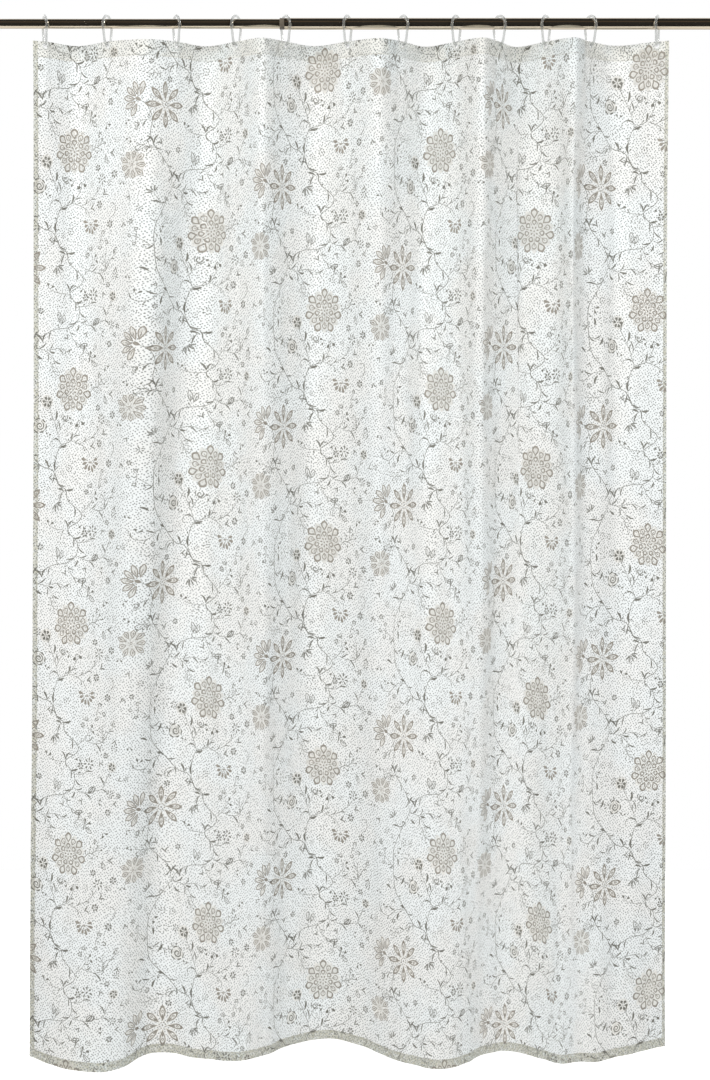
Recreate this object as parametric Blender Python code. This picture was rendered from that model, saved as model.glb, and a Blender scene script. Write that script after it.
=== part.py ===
"""Shower curtain on its telescopic tension rod.

The rod's axis is the X axis and the left wall pad's face is the origin. +X runs along the rod to the right,
+Y away from the room and +Z up. Sizes are in metres.
"""

import math

import bmesh
import bpy
import numpy as np
from mathutils import Matrix, Vector

# Driving dimensions
ROD_LENGTH = 1.550
INNER_TUBE_R = 0.0091
OUTER_TUBE_R = 0.0108
TUBE_WALL = 0.0007
INNER_TUBE_END_X = 0.900
COLLAR_X = (0.6445, 0.6530)
CURTAIN_WIDTH = 1.800
CURTAIN_DROP = 2.000
TOP_EDGE_Z = -0.0325
GAP = 0.0003  # between pieces that touch

# Rod fittings
COLLAR_INSERT = 0.022
PAD_R = 0.0165
PAD_NECK_R = 0.0138
PAD_LENGTH = 0.014
PAD_FLOOR = 0.003
PLUG_HEAD = 0.002
PLUG_STEM = 0.020
LOCK_BOSS_R = 0.0062
LOCK_BOSS_OFFSET = 0.0008
LOCK_BOSS_LENGTH = 0.014
LOCK_FLANGE = 0.002
LOCK_SLEEVE_BORE = 0.0073
LOCK_SLEEVE_SLIT = 0.003

# Rings: where each hangs along the rod, and the egg-shaped loop of their strand
FIRST_RING_X = 0.2016
RING_GAPS = (0.118, 0.130, 0.113, 0.093, 0.117, 0.104, 0.101, 0.081, 0.088, 0.084, 0.126)
RING_COUNT = len(RING_GAPS) + 1
STRAND_R = 0.0023
RING_TOP_R = 0.0175
RING_BOTTOM_R = 0.0125
RING_RISE = 0.0013  # a turned ring rests on the tube's shoulders, so its top stands this far clear
RING_TOP_Z = OUTER_TUBE_R + RING_RISE + STRAND_R - RING_TOP_R
HOLE_BELOW_EDGE = 0.0075
STRAND_ABOVE_HOLE = 0.0009
RING_BOTTOM_Z = TOP_EDGE_Z - HOLE_BELOW_EDGE + STRAND_ABOVE_HOLE + RING_BOTTOM_R
RING_TURN_SHARE = 0.58  # a ring turns this share of the way to face squarely through the cloth

# Eyelets
EYELET_BORE_R = 0.0046
EYELET_BARREL_R = 0.0056
EYELET_FLANGE_R = 0.0070
EYELET_FLANGE = 0.0005
EYELET_CLEARANCE = 0.0005

# Cloth: hems lie behind the panel
CLOTH = 0.0008
HEADER_HEM = 0.030
BOTTOM_HEM = 0.019
SIDE_HEM_LEFT = 0.010
SIDE_HEM_RIGHT = 0.008
EDGE_TO_HOLE = 0.025
HOLE_PITCH = (CURTAIN_WIDTH - 2 * EDGE_TO_HOLE) / (RING_COUNT - 1)

# Folds: at the top they swing between the rings, and lower down they join into wider, deeper ones
TOP_EDGE_REACH = 0.0205
TOP_EDGE_Y = -0.012
ARCH_SHARE = 0.93  # a rounded arch stands this much as high as a pointed one of the same length
CREST_SKEW = 0.06  # crests lean this share of a gap towards the odd-numbered ring
FLARE = 1.08  # the bottom edge spreads by this much about the curtain's middle
MIDDLE_X = ROD_LENGTH / 2
BOTTOM_FOLDS = (
    (0.128, -0.008),
    (0.228, -0.077),
    (0.415, -0.010),
    (0.537, -0.033),
    (0.726, 0.080),
    (0.954, -0.073),
    (1.088, 0.018),
    (1.208, -0.044),
    (1.423, 0.040),
)
FOLD_EASE = 1.2
SAG = 0.0015
SAG_FADE = 0.30

# Fineness of the model
TUBE_SIDES = 24
COLUMNS_PER_GAP = 5
HOLE_FLAT = EYELET_FLANGE_R + 0.001  # the cloth is drawn flat this far to each side of a hole
ROWS = 5
STRAND_ROUNDING = 2


def smooth_through(xs, ys):
    """A function that runs smoothly through the points and turns only at them."""
    xs, ys = np.array(xs, float), np.array(ys, float)
    steps = np.diff(xs)
    slopes = np.diff(ys) / steps
    tangents = np.zeros(len(xs))
    tangents[0], tangents[-1] = slopes[0], slopes[-1]
    for i in range(1, len(xs) - 1):
        before, after = slopes[i - 1], slopes[i]
        if before * after > 0:
            near, far = 2 * steps[i] + steps[i - 1], steps[i] + 2 * steps[i - 1]
            tangents[i] = (near + far) / (near / before + far / after)

    def value(x):
        i = np.clip(np.searchsorted(xs, x) - 1, 0, len(steps) - 1)
        t = (x - xs[i]) / steps[i]
        rise = ys[i] * (1 + 2 * t) * (1 - t) ** 2 + ys[i + 1] * t * t * (3 - 2 * t)
        lean = tangents[i] * t * (1 - t) ** 2 + tangents[i + 1] * t * t * (t - 1)
        return rise + lean * steps[i]

    return value


def ring_places():
    """Each ring's X, and how far along the flat cloth its hole lies."""
    xs = FIRST_RING_X + np.concatenate([[0], np.cumsum(RING_GAPS)])
    holes = EDGE_TO_HOLE + HOLE_PITCH * np.arange(RING_COUNT)
    return xs, holes


def top_folds():
    """The cloth's path from above at its top edge: on the rod's line at each ring, in an arch between rings."""
    xs, _ = ring_places()
    knots = [(xs[0] - TOP_EDGE_REACH, TOP_EDGE_Y)]
    for i, gap in enumerate(RING_GAPS):
        side = 1 if i % 2 == 0 else -1
        height = ARCH_SHARE * math.sqrt(HOLE_PITCH**2 - gap**2) / 2
        knots.append((xs[i], 0.0))
        knots.append((xs[i] + gap * (0.5 - side * CREST_SKEW), side * height))
    knots.append((xs[-1], 0.0))
    knots.append((xs[-1] + TOP_EDGE_REACH, TOP_EDGE_Y))
    return knots


def laid_along(knots, line_xs):
    """Shares the cloth out along a path, so that the side edges and each hole's line reach their own X."""
    path_x = np.linspace(knots[0][0], knots[-1][0], 2400)
    path_y = smooth_through(*zip(*knots))(path_x)
    run = np.concatenate([[0], np.cumsum(np.hypot(np.diff(path_x), np.diff(path_y)))])
    line_runs = np.interp(line_xs, path_x, run)
    lines_u = np.concatenate([[0], ring_places()[1], [CURTAIN_WIDTH]])
    flat_u = np.linspace(0, CURTAIN_WIDTH, 1801)
    along = smooth_through(lines_u, line_runs)(flat_u)
    return flat_u, np.interp(along, run, path_x), np.interp(along, run, path_y)


def fold_maps():
    """The paths of the top and bottom edges, each as flat position, X and Y."""
    xs, _ = ring_places()
    top, bottom = top_folds(), BOTTOM_FOLDS
    top_lines = np.concatenate([[top[0][0]], xs, [top[-1][0]]])
    spread = MIDDLE_X + (xs - MIDDLE_X) * FLARE
    bottom_lines = np.concatenate([[bottom[0][0]], spread, [bottom[-1][0]]])
    return laid_along(top, top_lines), laid_along(bottom, bottom_lines)


TOP_MAP, BOTTOM_MAP = fold_maps()


def cloth_point(u, v, offset=0.0):
    """Where a point of the flat cloth hangs: u across from the left edge, v down from the top edge."""
    ease = (v / CURTAIN_DROP) ** FOLD_EASE
    places = []
    for at in (u - 0.001, u, u + 0.001):
        places.append([
            (1 - ease) * np.interp(at, TOP_MAP[0], TOP_MAP[k]) + ease * np.interp(at, BOTTOM_MAP[0], BOTTOM_MAP[k])
            for k in (1, 2)
        ])
    run_x, run_y = places[2][0] - places[0][0], places[2][1] - places[0][1]
    length = math.hypot(run_x, run_y)
    between = (u - EDGE_TO_HOLE) / HOLE_PITCH
    sag = 0.0
    if 0 < between < RING_COUNT - 1:
        sag = SAG * math.sin(math.pi * between) ** 2 * max(0.0, 1 - v / SAG_FADE) ** 2
    x = places[1][0] - offset * run_y / length
    y = places[1][1] + offset * run_x / length
    return Vector((x, y, TOP_EDGE_Z - v - sag))


def cloth_turn(u, v):
    """The angle about Z at which the cloth faces, from facing straight into the room."""
    run = cloth_point(u + HOLE_FLAT, v) - cloth_point(u - HOLE_FLAT, v)
    return math.atan2(run.y, run.x)


def material(name, colour, roughness, metallic=0.0, clear=0.0):
    made = bpy.data.materials.new(name)
    made.use_nodes = True
    shader = made.node_tree.nodes["Principled BSDF"]
    shader.inputs["Base Color"].default_value = (*colour, 1)
    shader.inputs["Roughness"].default_value = roughness
    shader.inputs["Metallic"].default_value = metallic
    shader.inputs["Transmission Weight"].default_value = clear
    return made


def put(name, data, stuff, location=(0, 0, 0), turn=0.0):
    """Adds an object at its place, turned about Z."""
    thing = bpy.data.objects.new(name, data)
    thing.location = location
    thing.rotation_euler = (0, 0, turn)
    bpy.context.scene.collection.objects.link(thing)
    data.materials.append(stuff)
    return thing


def mesh_from(bm, smooth_angle=math.radians(40)):
    bmesh.ops.recalc_face_normals(bm, faces=bm.faces)
    mesh = bpy.data.meshes.new("shape")
    bm.to_mesh(mesh)
    bm.free()
    mesh.shade_smooth()
    mesh.set_sharp_from_angle(angle=smooth_angle)
    return mesh


def turned(outline, sides=TUBE_SIDES):
    """A body turned about X from a closed outline of (x, radius) points. A point on the axis has radius 0."""
    bm = bmesh.new()
    rows = []
    for x, radius in outline:
        if radius == 0:
            rows.append([bm.verts.new((x, 0, 0))])
            continue
        turns = [2 * math.pi * k / sides for k in range(sides)]
        rows.append([bm.verts.new((x, radius * math.cos(a), radius * math.sin(a))) for a in turns])
    for near, far in zip(rows, rows[1:] + rows[:1]):
        for k in range(sides):
            after = (k + 1) % sides
            corners = [near[k % len(near)], near[after % len(near)], far[after % len(far)], far[k % len(far)]]
            corners = list(dict.fromkeys(corners))
            if len(corners) > 2:
                bm.faces.new(corners)
    return mesh_from(bm)


def mirrored_outline(outline):
    """The same outline at the rod's right end."""
    return [(ROD_LENGTH - x, radius) for x, radius in outline]


def tube_outline(start, end, radius, bore):
    return [(start, radius), (end, radius), (end, bore), (start, bore)]


def pad_outline(tube_r):
    """A rubber cup that fits over the tube's end, with a flat face for the wall."""
    bore = tube_r + GAP
    return [(0, 0), (0, PAD_R), (0.004, PAD_R), (PAD_LENGTH, PAD_NECK_R), (PAD_LENGTH, bore), (PAD_FLOOR, bore),
            (PAD_FLOOR, 0)]


def plug_outline(tube_r):
    """A stopper whose stem fits inside the tube and whose head covers its end."""
    head = PAD_FLOOR + GAP
    stem = head + PLUG_HEAD
    stem_r = tube_r - TUBE_WALL - GAP
    return [(head, 0), (head, tube_r), (stem, tube_r), (stem, stem_r), (stem + PLUG_STEM, stem_r),
            (stem + PLUG_STEM, 0)]


def build_rod(steel, plastic, rubber):
    tube_start = PAD_FLOOR + PLUG_HEAD + 2 * GAP
    inner_bore = INNER_TUBE_R - TUBE_WALL
    outer_bore = OUTER_TUBE_R - TUBE_WALL
    put("inner_tube", turned(tube_outline(tube_start, INNER_TUBE_END_X, INNER_TUBE_R, inner_bore)), steel)
    outer = tube_outline(COLLAR_X[1] + GAP, ROD_LENGTH - tube_start, OUTER_TUBE_R, outer_bore)
    put("outer_tube", turned(outer), steel)
    lip, seat = COLLAR_X
    insert_r, collar_bore = outer_bore - GAP, INNER_TUBE_R + GAP
    collar = [(lip, OUTER_TUBE_R - 0.0006), (lip + 0.0012, OUTER_TUBE_R), (seat, OUTER_TUBE_R), (seat, insert_r),
              (seat + COLLAR_INSERT, insert_r), (seat + COLLAR_INSERT, collar_bore), (lip, collar_bore)]
    put("tube_collar", turned(collar), plastic)
    put("end_plug_left", turned(plug_outline(INNER_TUBE_R)), plastic)
    put("end_plug_right", turned(mirrored_outline(plug_outline(OUTER_TUBE_R))), plastic)
    put("wall_pad_left", turned(pad_outline(INNER_TUBE_R)), rubber)
    put("wall_pad_right", turned(mirrored_outline(pad_outline(OUTER_TUBE_R))), rubber)


def build_lock(plastic):
    """The twist lock in the outer tube: an off-centre boss on the inner tube's end and a split sleeve round it."""
    stem_r = INNER_TUBE_R - TUBE_WALL - GAP
    face = INNER_TUBE_END_X + GAP
    tip = face + LOCK_BOSS_LENGTH
    sections = [(INNER_TUBE_END_X - PLUG_STEM, stem_r, 0), (face, stem_r, 0), (face, LOCK_BOSS_R, LOCK_BOSS_OFFSET),
                (tip, LOCK_BOSS_R, LOCK_BOSS_OFFSET), (tip, stem_r, 0), (tip + LOCK_FLANGE, stem_r, 0)]
    bm = bmesh.new()
    rows = []
    for x, radius, offset in sections:
        turns = [2 * math.pi * k / TUBE_SIDES for k in range(TUBE_SIDES)]
        rows.append([bm.verts.new((x, radius * math.cos(a), offset + radius * math.sin(a))) for a in turns])
    for near, far in zip(rows, rows[1:]):
        for k in range(TUBE_SIDES):
            after = (k + 1) % TUBE_SIDES
            bm.faces.new([near[k], near[after], far[after], far[k]])
    bm.faces.new(rows[0])
    bm.faces.new(rows[-1])
    put("lock_core", mesh_from(bm), plastic)

    sleeve_r = OUTER_TUBE_R - TUBE_WALL - GAP
    half_slit = math.asin(LOCK_SLEEVE_SLIT / 2 / sleeve_r)
    turns = np.linspace(half_slit, 2 * math.pi - half_slit, TUBE_SIDES)
    bm = bmesh.new()
    rows = []
    for a in turns:
        ends = [(x, r) for x, r in ((face + GAP, sleeve_r), (tip - GAP, sleeve_r), (tip - GAP, LOCK_SLEEVE_BORE),
                                    (face + GAP, LOCK_SLEEVE_BORE))]
        rows.append([bm.verts.new((x, r * math.cos(a), r * math.sin(a))) for x, r in ends])
    for near, far in zip(rows, rows[1:]):
        for k in range(4):
            after = (k + 1) % 4
            bm.faces.new([near[k], near[after], far[after], far[k]])
    bm.faces.new(rows[0])
    bm.faces.new(rows[-1])
    put("lock_sleeve", mesh_from(bm), plastic)


def arc(centre_z, radius, start, end, steps):
    """Points in the ring's own plane, as (y, z), with the angle measured from +Y towards +Z."""
    turns = np.linspace(start, end, steps + 1)
    return [(radius * math.cos(a), centre_z + radius * math.sin(a)) for a in turns]


def strand(points, origin):
    """A round strand along points of the ring's plane, measured from its own origin."""
    curve = bpy.data.curves.new("strand", "CURVE")
    curve.dimensions = "3D"
    curve.bevel_depth = STRAND_R
    curve.bevel_resolution = STRAND_ROUNDING
    curve.use_fill_caps = True
    spline = curve.splines.new("POLY")
    spline.points.add(len(points) - 1)
    for point, (y, z) in zip(spline.points, points):
        point.co = (0, y - origin[0], z - origin[1], 1)
    return curve


def build_rings(clear):
    """Twelve snap rings. Each has a U that holds the cloth and an arm over the rod that hinges at its back."""
    half_gap = GAP / 2
    upright = STRAND_R / 2 / RING_TOP_R
    side = math.asin((RING_TOP_R - RING_BOTTOM_R) / (RING_TOP_Z - RING_BOTTOM_Z))
    loop = arc(RING_TOP_Z, RING_TOP_R, -upright, -side, 1)
    loop += arc(RING_BOTTOM_Z, RING_BOTTOM_R, -side, side - math.pi, 10)
    loop += arc(RING_TOP_Z, RING_TOP_R, side - math.pi, upright - math.pi, 1)
    loop = [(RING_TOP_R, RING_TOP_Z - half_gap), *loop, (-RING_TOP_R, RING_TOP_Z - half_gap)]
    over = arc(RING_TOP_Z, RING_TOP_R, upright, math.pi - upright, 10)
    over = [(RING_TOP_R, RING_TOP_Z + half_gap), *over, (-RING_TOP_R, RING_TOP_Z + half_gap)]
    pivot = (RING_TOP_R + STRAND_R, RING_TOP_Z)
    xs, holes = ring_places()
    for number, (x, hole) in enumerate(zip(xs, holes), 1):
        turn = RING_TURN_SHARE * cloth_turn(hole, HOLE_BELOW_EDGE)
        put(f"ring_{number:02d}", strand(loop, (0, 0)), clear, (x, 0, 0), turn)
        back = Matrix.Rotation(turn, 3, "Z") @ Vector((0, pivot[0], pivot[1]))
        put(f"ring_arm_{number:02d}", strand(over, pivot), clear, (x + back.x, back.y, back.z), turn)


def hole_frame(hole):
    """Turns the X axis to point through the cloth at a hole, away from the room."""
    centre = cloth_point(hole, HOLE_BELOW_EDGE)
    turn = cloth_turn(hole, HOLE_BELOW_EDGE) + math.pi / 2
    return Matrix.Translation(centre) @ Matrix.Rotation(turn, 4, "Z")


def build_eyelets(white):
    """A flanged bush through the panel and the header hem at each hole."""
    front = -CLOTH / 2 - EYELET_CLEARANCE
    back = CLOTH / 2 + GAP + CLOTH + EYELET_CLEARANCE
    outline = [(front - EYELET_FLANGE, EYELET_FLANGE_R), (front, EYELET_FLANGE_R), (front, EYELET_BARREL_R),
               (back, EYELET_BARREL_R), (back, EYELET_FLANGE_R), (back + EYELET_FLANGE, EYELET_FLANGE_R),
               (back + EYELET_FLANGE, EYELET_BORE_R), (front - EYELET_FLANGE, EYELET_BORE_R)]
    for number, hole in enumerate(ring_places()[1], 1):
        eyelet = put(f"eyelet_{number:02d}", turned(outline, sides=12), white)
        eyelet.matrix_world = hole_frame(hole)


def hole_cutter():
    """Twelve short cylinders, one through each hole, to cut the cloth for the eyelets' barrels."""
    bm = bmesh.new()
    for hole in ring_places()[1]:
        matrix = hole_frame(hole) @ Matrix.Rotation(math.pi / 2, 4, "Y")
        bmesh.ops.create_cone(bm, cap_ends=True, segments=12, radius1=EYELET_BARREL_R + GAP,
                              radius2=EYELET_BARREL_R + GAP, depth=0.012, matrix=matrix)
    mesh = bpy.data.meshes.new("hole_cutter")
    bm.to_mesh(mesh)
    bm.free()
    cutter = bpy.data.objects.new("hole_cutter", mesh)
    cutter.hide_render = True
    cutter.display_type = "WIRE"
    bpy.context.scene.collection.objects.link(cutter)
    return cutter


def cloth_slab(us, vs, front, back):
    """A closed sheet over a grid of flat positions, between two distances behind the panel's middle."""
    bm = bmesh.new()
    sides = [[[bm.verts.new(cloth_point(u, v, offset)) for u in us] for v in vs] for offset in (front, back)]
    for grid in sides:
        for above, below in zip(grid, grid[1:]):
            for k in range(len(us) - 1):
                bm.faces.new([above[k], above[k + 1], below[k + 1], below[k]])
    near, far = sides
    rims = [(near[0], far[0]), (near[-1], far[-1])]
    rims += [([row[k] for row in near], [row[k] for row in far]) for k in (0, -1)]
    for one, other in rims:
        for k in range(len(one) - 1):
            bm.faces.new([one[k], one[k + 1], other[k + 1], other[k]])
    return mesh_from(bm, math.radians(60))


def build_cloth(fabric):
    holes = ring_places()[1]
    us = [0, SIDE_HEM_LEFT, holes[0] - HOLE_FLAT]
    for hole, following in zip(holes, holes[1:]):
        us += [hole, *np.linspace(hole + HOLE_FLAT, following - HOLE_FLAT, COLUMNS_PER_GAP)]
    us += [holes[-1], holes[-1] + HOLE_FLAT, CURTAIN_WIDTH - SIDE_HEM_RIGHT, CURTAIN_WIDTH]
    hem_top = CURTAIN_DROP - BOTTOM_HEM
    vs = [0, *np.linspace(HEADER_HEM, hem_top, ROWS), CURTAIN_DROP]
    cutter = hole_cutter()
    behind = (CLOTH / 2 + GAP, CLOTH / 2 + GAP + CLOTH)
    panel = put("curtain_panel", cloth_slab(us, vs, -CLOTH / 2, CLOTH / 2), fabric)
    header = put("header_hem", cloth_slab(us, (0, HEADER_HEM), *behind), fabric)
    for sheet in (panel, header):
        cut = sheet.modifiers.new("eyelet_holes", "BOOLEAN")
        cut.operation = "DIFFERENCE"
        cut.object = cutter
    put("bottom_hem", cloth_slab(us, (hem_top, CURTAIN_DROP), *behind), fabric)
    side_vs = [HEADER_HEM + GAP, *vs[2:-2], hem_top - GAP]
    put("side_hem_left", cloth_slab((0, SIDE_HEM_LEFT), side_vs, *behind), fabric)
    right = (CURTAIN_WIDTH - SIDE_HEM_RIGHT, CURTAIN_WIDTH)
    put("side_hem_right", cloth_slab(right, side_vs, *behind), fabric)


def main():
    for thing in list(bpy.data.objects):
        bpy.data.objects.remove(thing)
    steel = material("bronze_steel", (0.045, 0.030, 0.018), 0.22, metallic=0.9)
    plastic = material("brown_plastic", (0.12, 0.10, 0.075), 0.45)
    rubber = material("dark_rubber", (0.03, 0.028, 0.025), 0.8)
    clear = material("clear_plastic", (0.93, 0.94, 0.94), 0.08, clear=0.9)
    white = material("white_plastic", (0.85, 0.86, 0.85), 0.35)
    fabric = material("printed_cloth", (0.80, 0.80, 0.77), 0.85)
    build_rod(steel, plastic, rubber)
    build_lock(plastic)
    build_rings(clear)
    build_eyelets(white)
    build_cloth(fabric)
    bpy.context.view_layer.update()


main()
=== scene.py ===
"""How the shower curtain looks: printed cloth on clear snap rings, hung from a dark polished rod.

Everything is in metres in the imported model's frame: X along the rod, Y away from the room, Z up.
"""

import math

import bmesh
import bpy
import numpy as np
from mathutils import Matrix, Vector


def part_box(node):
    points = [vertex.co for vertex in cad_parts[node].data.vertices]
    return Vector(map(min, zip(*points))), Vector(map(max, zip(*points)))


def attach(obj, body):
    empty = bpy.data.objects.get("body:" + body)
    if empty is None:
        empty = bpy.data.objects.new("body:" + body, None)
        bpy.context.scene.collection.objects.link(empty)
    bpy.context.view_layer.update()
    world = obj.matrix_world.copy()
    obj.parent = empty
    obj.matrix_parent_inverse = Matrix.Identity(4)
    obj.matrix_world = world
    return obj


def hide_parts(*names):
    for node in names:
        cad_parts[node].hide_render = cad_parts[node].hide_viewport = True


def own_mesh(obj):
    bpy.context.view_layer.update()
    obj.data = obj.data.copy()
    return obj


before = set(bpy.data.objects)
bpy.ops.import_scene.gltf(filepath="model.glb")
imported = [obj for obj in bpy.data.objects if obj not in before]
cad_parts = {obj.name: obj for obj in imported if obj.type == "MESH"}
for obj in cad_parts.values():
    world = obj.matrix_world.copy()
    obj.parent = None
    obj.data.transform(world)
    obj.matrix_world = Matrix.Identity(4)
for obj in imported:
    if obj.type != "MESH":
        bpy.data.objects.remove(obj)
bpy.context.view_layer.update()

# The cloth, as it is cut
CURTAIN_WIDTH = 1.800
CURTAIN_DROP = 2.000
HEADER_HEM = 0.030
BOTTOM_HEM = 0.019
SIDE_HEM_LEFT = 0.010
SIDE_HEM_RIGHT = 0.008
EDGE_TO_HOLE = 0.025
HOLE_BELOW_EDGE = 0.0075
TOP_EDGE_Z = -0.0325

# The folds
TOP_EDGE_REACH = 0.0205  # how far the top edge reaches past the end rings
TOP_EDGE_Y = -0.012
ARCH_SHARE = 0.93  # an arch's height, as a share of what the cloth between two holes allows
CREST_SKEW = 0.06  # how far an arch's crest is off its middle, as a share of its width
FLARE = 1.08  # how much wider the holes' lines have spread at the bottom
BOTTOM_FOLDS = (  # the X and Y of each turn of the bottom edge
    (0.128, -0.008),
    (0.228, -0.077),
    (0.415, -0.010),
    (0.537, -0.033),
    (0.726, 0.080),
    (0.954, -0.073),
    (1.088, 0.018),
    (1.208, -0.044),
    (1.423, 0.040),
)
FOLD_EASE = 1.2  # above 1, the top's folds last further down
SAG = 0.0015
SAG_FADE = 0.30  # how far down the sag between two holes is felt

# The rod's and rings' sizes that the frame's boxes don't give
TUBE_WALL = 0.0007
ROD_SIDES = 96
STRAND_R = 0.0023
RING_TOP_R = 0.0175
RING_BOTTOM_R = 0.0125
RING_RISE = 0.0013  # from the rod's top to the strand
STRAND_ABOVE_HOLE = 0.0009
RING_TURN_SHARE = 0.58  # how far a ring turns with the cloth
EYELET_BORE_R = 0.0046
EYELET_BARREL_R = 0.0056
EYELET_FLANGE_R = 0.0070


def middle_x(node):
    low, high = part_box(node)
    return ((low + high) / 2).x


def box_radius(node):
    """A turned node's radius about the rod's axis."""
    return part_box(node)[1].y


RING_XS = np.array([middle_x(f"ring_{n:02d}") for n in range(1, 13)])
HOLES = np.linspace(EDGE_TO_HOLE, CURTAIN_WIDTH - EDGE_TO_HOLE, len(RING_XS))
HOLE_PITCH = HOLES[1] - HOLES[0]
ROD_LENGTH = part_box("wall_pad_right")[1].x
MIDDLE_X = ROD_LENGTH / 2
OUTER_TUBE_R = box_radius("outer_tube")
RING_TOP_Z = OUTER_TUBE_R + RING_RISE + STRAND_R - RING_TOP_R
RING_BOTTOM_Z = TOP_EDGE_Z - HOLE_BELOW_EDGE + STRAND_ABOVE_HOLE + RING_BOTTOM_R


# ---------------------------------------------------------------- where the cloth hangs

def smooth_through(xs, ys):
    """A function that runs smoothly through the points and turns only at them."""
    xs, ys = np.array(xs, float), np.array(ys, float)
    steps = np.diff(xs)
    slopes = np.diff(ys) / steps
    tangents = np.zeros(len(xs))
    tangents[0], tangents[-1] = slopes[0], slopes[-1]
    for i in range(1, len(xs) - 1):
        before, after = slopes[i - 1], slopes[i]
        if before * after > 0:
            near, far = 2 * steps[i] + steps[i - 1], steps[i] + 2 * steps[i - 1]
            tangents[i] = (near + far) / (near / before + far / after)

    def value(x):
        i = np.clip(np.searchsorted(xs, x) - 1, 0, len(steps) - 1)
        t = (x - xs[i]) / steps[i]
        rise = ys[i] * (1 + 2 * t) * (1 - t) ** 2 + ys[i + 1] * t * t * (3 - 2 * t)
        lean = tangents[i] * t * (1 - t) ** 2 + tangents[i + 1] * t * t * (t - 1)
        return rise + lean * steps[i]

    return value


def top_folds():
    """The path of the top edge from above: on the rod's line at each ring, in an arch between rings."""
    knots = [(RING_XS[0] - TOP_EDGE_REACH, TOP_EDGE_Y)]
    for i, gap in enumerate(np.diff(RING_XS)):
        side = 1 if i % 2 == 0 else -1
        height = ARCH_SHARE * math.sqrt(HOLE_PITCH**2 - gap**2) / 2
        knots.append((RING_XS[i], 0.0))
        knots.append((RING_XS[i] + gap * (0.5 - side * CREST_SKEW), side * height))
    knots.append((RING_XS[-1], 0.0))
    knots.append((RING_XS[-1] + TOP_EDGE_REACH, TOP_EDGE_Y))
    return knots


def laid_along(knots, line_xs):
    """Shares the cloth out along a path, so that the side edges and each hole's line reach their own X."""
    path_x = np.linspace(knots[0][0], knots[-1][0], 2400)
    path_y = smooth_through(*zip(*knots))(path_x)
    run = np.concatenate([[0], np.cumsum(np.hypot(np.diff(path_x), np.diff(path_y)))])
    line_runs = np.interp(line_xs, path_x, run)
    lines_u = np.concatenate([[0], HOLES, [CURTAIN_WIDTH]])
    flat_u = np.linspace(0, CURTAIN_WIDTH, 1801)
    along = smooth_through(lines_u, line_runs)(flat_u)
    return flat_u, np.interp(along, run, path_x), np.interp(along, run, path_y)


def fold_maps():
    """The paths of the top and bottom edges, each as flat position, X and Y."""
    top = top_folds()
    top_lines = np.concatenate([[top[0][0]], RING_XS, [top[-1][0]]])
    spread = MIDDLE_X + (RING_XS - MIDDLE_X) * FLARE
    bottom_lines = np.concatenate([[BOTTOM_FOLDS[0][0]], spread, [BOTTOM_FOLDS[-1][0]]])
    return laid_along(top, top_lines), laid_along(BOTTOM_FOLDS, bottom_lines)


TOP_MAP, BOTTOM_MAP = fold_maps()

# Soft unevenness of the cloth, as waves: how many per metre across and down, height and where each one starts
WAVES = (
    (5.3, 0.35, 0.0016, 0.4),
    (8.9, -0.50, 0.0011, 2.1),
    (13.7, 0.90, 0.0006, 4.0),
    (21.0, -1.60, 0.0003, 1.2),
    (3.1, 1.10, 0.0012, 5.1),
    (29.0, 4.00, 0.00014, 3.3),
)
WAVES_FROM = 0.25  # the waves reach their full height this far down

# The cloth puckers under each hole, and along the two long seams
PUCKER = 0.0012
PUCKER_START = 0.02
PUCKER_LENGTH = 0.11
PUCKER_WIDTH = 0.030
PUCKER_WAVE = 0.034
SEAM_PUCKER = 0.00035
SEAM_PUCKER_WAVE = 0.0115
SEAM_PUCKER_DEPTH = 0.006
SEAM_PUCKER_DRIFT = 0.6  # the puckers come sooner or later by this share of a wave
SEAM_PUCKER_DRIFT_TURN = 41

# Single folds that are deeper or flatter than the rest: each one's flat position at the top and the bottom,
# its half width, and how far the cloth stands off beside it at some depths down the cloth
CREASES = (
    (0.340, 0.250, 0.052, ((0, 0), (0.10, 0), (0.60, 0.036), (2, 0.037))),
    (1.425, 1.420, 0.050, ((0, 0), (0.04, 0), (0.25, 0.022), (0.9, 0.011), (1.5, 0), (2, 0))),
    (1.635, 1.590, 0.035, ((0, 0), (0.05, 0), (0.3, -0.013), (2, -0.009))),
)


def creased(u, v):
    """How far the cloth stands off beside the single folds, towards the back."""
    down = np.clip(v, 0, CURTAIN_DROP)
    off = np.zeros_like(u)
    for at_top, at_bottom, width, depths in CREASES:
        away = (u - at_top - (at_bottom - at_top) * down / CURTAIN_DROP) / width
        off += smooth_through(*zip(*depths))(down) * away * np.exp(-away**2 / 2)
    return off


def unevenness(u, v):
    """How far the cloth stands off its smooth folds, towards the back."""
    off = np.zeros_like(u)
    for across, down, height, start in WAVES:
        off += height * np.sin(2 * np.pi * (across * u + down * v) + start)
    off *= np.clip(v / WAVES_FROM, 0, 1) ** 2
    for k, hole in enumerate(HOLES):
        away = u - hole
        side = 1 if k % 2 else -1
        pull = np.exp(-((away / PUCKER_WIDTH) ** 2) - v / PUCKER_LENGTH) * np.clip(v / PUCKER_START, 0, 1)
        off += side * PUCKER * pull * np.cos(2 * np.pi * away / PUCKER_WAVE)
    for seam in (HEADER_HEM, CURTAIN_DROP - BOTTOM_HEM):
        near = np.exp(-(((v - seam) / SEAM_PUCKER_DEPTH) ** 2))
        drift = SEAM_PUCKER_DRIFT * np.sin(u * SEAM_PUCKER_DRIFT_TURN)
        off += SEAM_PUCKER * near * np.sin(2 * np.pi * (u / SEAM_PUCKER_WAVE + drift))
    return off


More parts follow.
